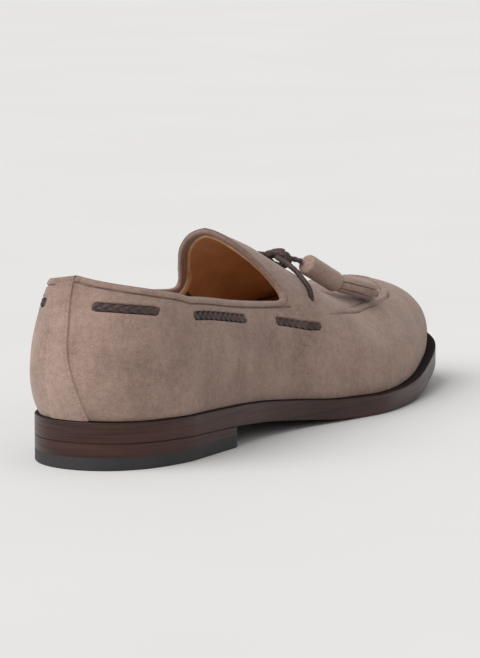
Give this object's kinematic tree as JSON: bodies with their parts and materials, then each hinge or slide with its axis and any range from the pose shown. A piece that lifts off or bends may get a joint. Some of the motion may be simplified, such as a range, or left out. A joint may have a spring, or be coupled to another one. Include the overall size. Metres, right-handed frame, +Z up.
{
  "type": "tassel loafer",
  "caption": "Suede tassel loafer for the right foot, with a welted leather sole, stacked heel, raised apron seam and a braided lace round the collar tied over the vamp.",
  "frame": {"origin": "on the floor, below the middle of the shoe's length and width", "axes": "+X from heel to toe, +Y towards the inner side of the foot, +Z up"},
  "size_m": [0.3012, 0.1002, 0.0869],
  "materials": {
    "suede": "napped suede, matte",
    "sole_leather": "dark edge dressing, satin",
    "top_piece_rubber": "matte",
    "lining_leather": "smooth calf, satin",
    "lace_leather": "braided, semi-gloss"
  },
  "bodies": {
    "root": {"outsole": "sole_leather", "welt": "sole_leather", "heel_lift_1": "sole_leather", "heel_lift_2": "sole_leather", "heel_top_piece": "top_piece_rubber", "insole": "lining_leather", "upper": "suede", "back_strap": "suede", "collar_binding_outer": "suede", "collar_binding_inner": "suede", "apron_seam": "suede", "lace_bar_outer_1": "lace_leather", "lace_bar_outer_2": "lace_leather", "lace_bar_outer_3": "lace_leather", "lace_bar_inner_1": "lace_leather", "lace_bar_inner_2": "lace_leather", "lace_bar_inner_3": "lace_leather", "lace_outer": "lace_leather", "lace_inner": "lace_leather", "lace_knot": "lace_leather", "tassel_head_outer": "suede", "tassel_fringe_outer": "suede", "tassel_head_inner": "suede", "tassel_fringe_inner": "suede"}
  },
  "joints": []
}
